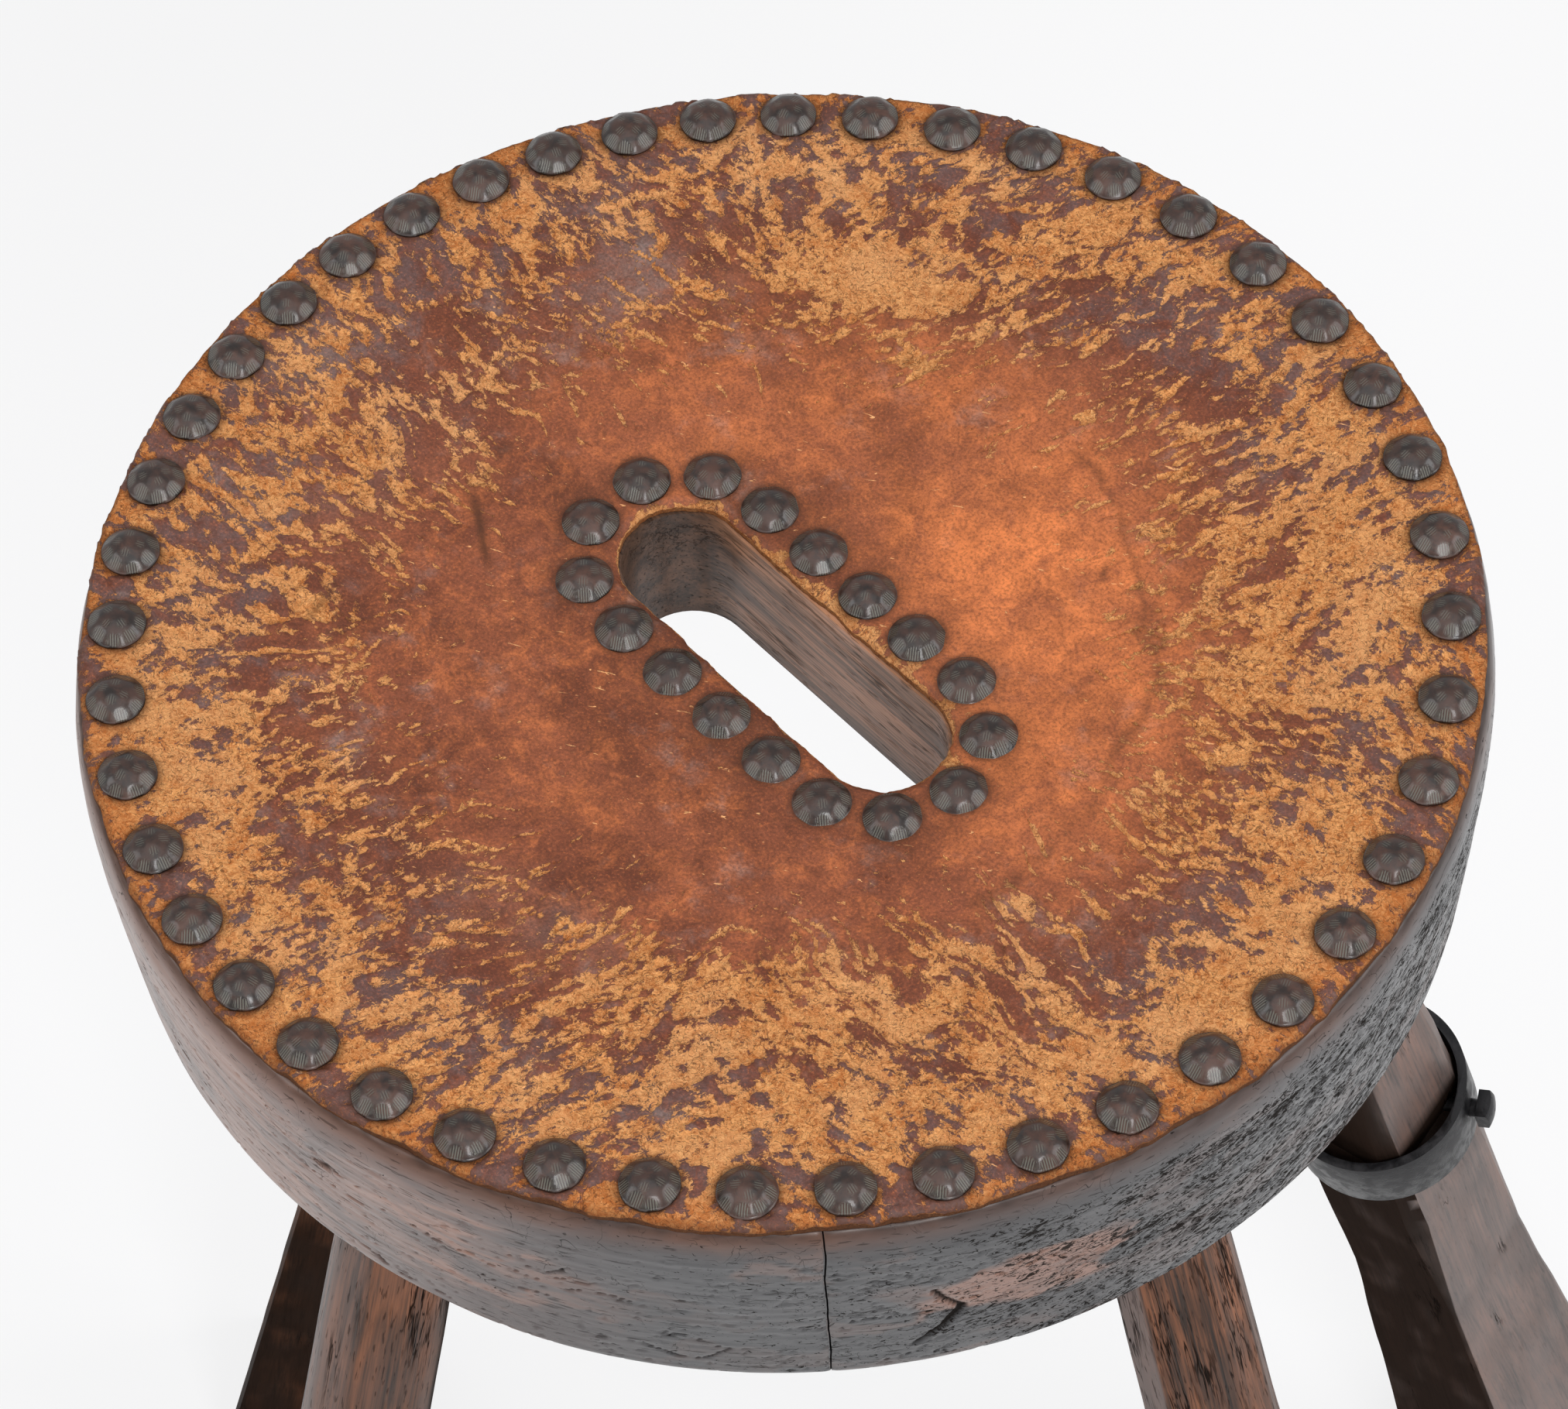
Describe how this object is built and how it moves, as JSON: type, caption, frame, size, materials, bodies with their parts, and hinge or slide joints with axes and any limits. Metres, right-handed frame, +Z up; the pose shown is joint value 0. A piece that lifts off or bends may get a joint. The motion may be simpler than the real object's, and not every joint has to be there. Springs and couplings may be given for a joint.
{
  "type": "leather-seated stool",
  "caption": "Tall round stool with a dished, nailed leather seat, a hand slot through the middle, a bent rim band and splayed faceted legs with iron collars.",
  "frame": {"origin": "on the floor, under the middle of the seat", "axes": "+Z up; +X along the hand slot, toward leg_right; +Y toward leg_back"},
  "size_m": [0.6439, 0.6383, 0.7234],
  "materials": {
    "seat_wood": "old waxed hardwood, dark and worn",
    "leg_wood": "old waxed hardwood, dark and worn",
    "hide": "smooth in the middle, scuffed to suede toward the rim",
    "nail_iron": "hammered, dark brown patina",
    "collar_iron": "forged, dark patina"
  },
  "bodies": {
    "root": {"seat_board": "seat_wood", "rim_band": "seat_wood", "leather_cover": "hide", "rim_nails": "nail_iron", "slot_nails": "nail_iron", "leg_right": "leg_wood", "leg_back": "leg_wood", "leg_left": "leg_wood", "leg_front": "leg_wood", "leg_wedge_right": "leg_wood", "leg_wedge_back": "leg_wood", "leg_wedge_left": "leg_wood", "leg_wedge_front": "leg_wood", "collar_right": "collar_iron", "collar_back": "collar_iron", "collar_left": "collar_iron", "collar_front": "collar_iron", "collar_bolt_right": "collar_iron", "collar_bolt_back": "collar_iron", "collar_bolt_left": "collar_iron", "collar_bolt_front": "collar_iron"}
  },
  "joints": []
}
